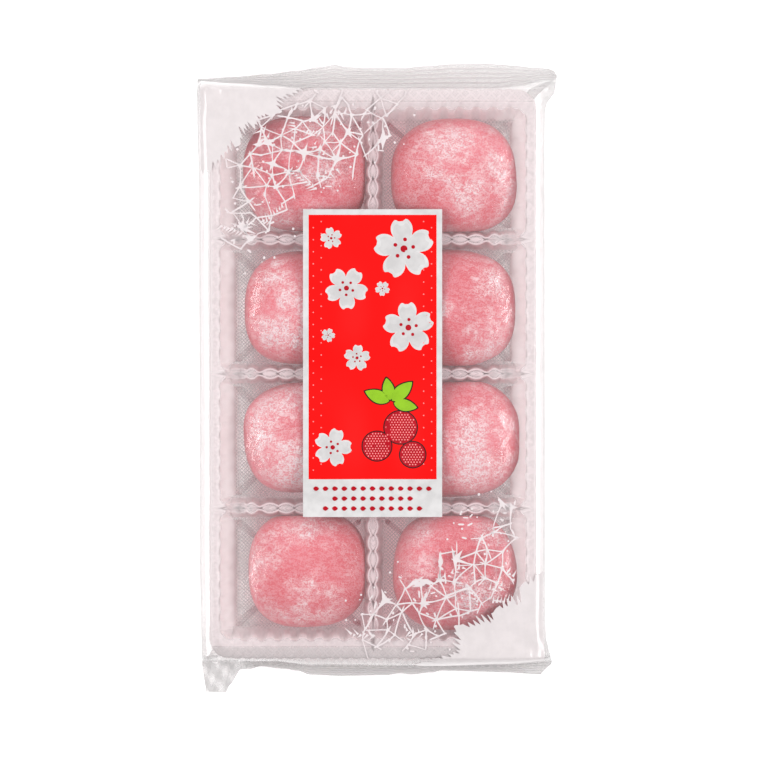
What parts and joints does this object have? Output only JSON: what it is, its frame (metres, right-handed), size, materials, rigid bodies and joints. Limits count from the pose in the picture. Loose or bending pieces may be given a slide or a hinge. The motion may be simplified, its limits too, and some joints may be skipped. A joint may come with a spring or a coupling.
{
  "type": "pack of mochi rice cakes",
  "caption": "Sealed clear film pack of soft pink rice cakes in a moulded tray, with a printed front and crimped end seals, lying on its back.",
  "frame": {"origin": "under the middle of the pack's bounding box, on the surface it lies on", "axes": "+Z out of the printed front, +Y along the pack towards its upper end seal, +X to the right across the front"},
  "size_m": [0.1194, 0.2086, 0.0263],
  "materials": {
    "clear_film": "clear glossy film with a soft grey haze",
    "clear_tray": "thin clear moulded plastic, whitish along its folds",
    "rice_cake": "soft pink dough under a dusting of white starch",
    "white_print": "matt white ink",
    "red_print": "flat red ink",
    "green_print": "flat green ink",
    "dark_print": "black ink lines"
  },
  "bodies": {
    "root": {"sealed_pack": "clear_film"}
  },
  "joints": []
}
